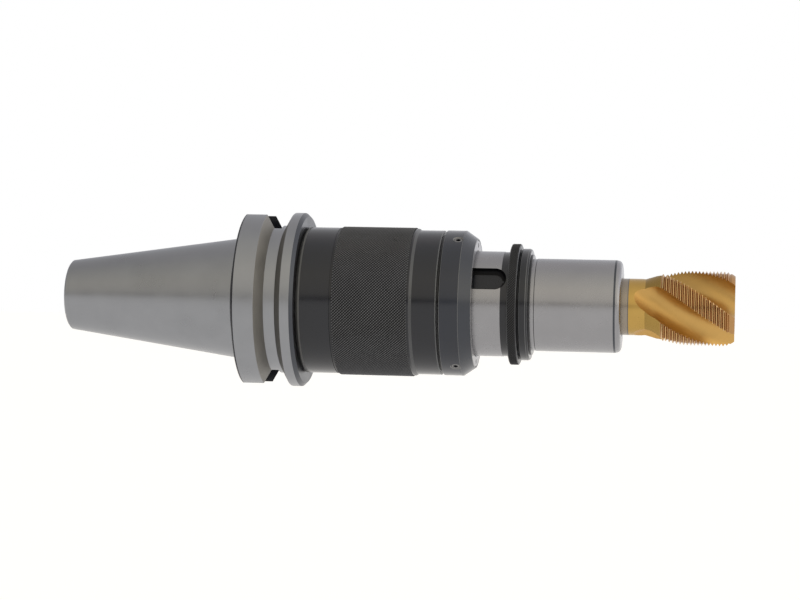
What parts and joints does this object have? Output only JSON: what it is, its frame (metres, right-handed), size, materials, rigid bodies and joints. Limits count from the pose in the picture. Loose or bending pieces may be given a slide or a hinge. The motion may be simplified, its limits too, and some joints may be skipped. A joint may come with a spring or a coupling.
{
  "type": "tension compression tap holder",
  "caption": "Tap holder with a steep taper shank, gripper groove and drive slots, a knurled black housing, a sprung floating sleeve and a quick-change adapter holding a spiral-fluted tap.",
  "frame": {"origin": "on the axis at the gauge line of the taper", "axes": "+X along the axis towards the tap, +Z through one drive slot, -Y faces the camera"},
  "size_m": [0.3838, 0.1, 0.1],
  "materials": {
    "ground_steel": "finely ground",
    "taper_steel": "ground, hardened",
    "black_oxide": "black oxide, satin",
    "black_oxide_knurled": "black oxide, knurled",
    "bright_steel": "turned",
    "spring_steel": "shot peened",
    "ball_steel": "polished",
    "bronze": "turned",
    "seal_rubber": "matte",
    "gold_coating": "titanium nitride coating"
  },
  "bodies": {
    "holder": {"taper_shank": "taper_steel", "housing_sleeve": "black_oxide_knurled", "front_nut": "black_oxide", "nut_set_screw_1": "black_oxide", "nut_set_screw_2": "black_oxide", "nut_set_screw_3": "black_oxide", "front_cap_ring": "bright_steel", "wiper_seal": "seal_rubber", "front_guide_bush": "bronze", "drive_key_1": "bright_steel", "drive_key_2": "bright_steel", "push_spring_seat": "bright_steel", "pull_spring_seat": "bright_steel", "push_spring": "spring_steel", "pull_spring": "spring_steel"},
    "float": {"float_sleeve": "ground_steel", "lock_ball_1": "ball_steel", "lock_ball_2": "ball_steel", "lock_ball_3": "ball_steel", "ring_retainer": "spring_steel", "adapter_body": "ground_steel", "adapter_collar": "black_oxide", "adapter_seal_ring": "seal_rubber", "tap_grip_ring": "seal_rubber", "tap": "gold_coating"},
    "release_ring": {"release_ring": "black_oxide_knurled"}
  },
  "joints": [
    {"name": "float_slide", "type": "slide", "parent": "holder", "child": "float", "axis": [1, 0, 0], "range_m": [-0.01, 0.015], "stiffness_N_per_m": 25000, "deforming": ["push_spring", "pull_spring"]},
    {"name": "release_ring_turn", "type": "hinge", "parent": "float", "child": "release_ring", "pos_m": [0.15865, 0, 0], "axis": [1, 0, 0], "range_deg": [0, 30]}
  ]
}
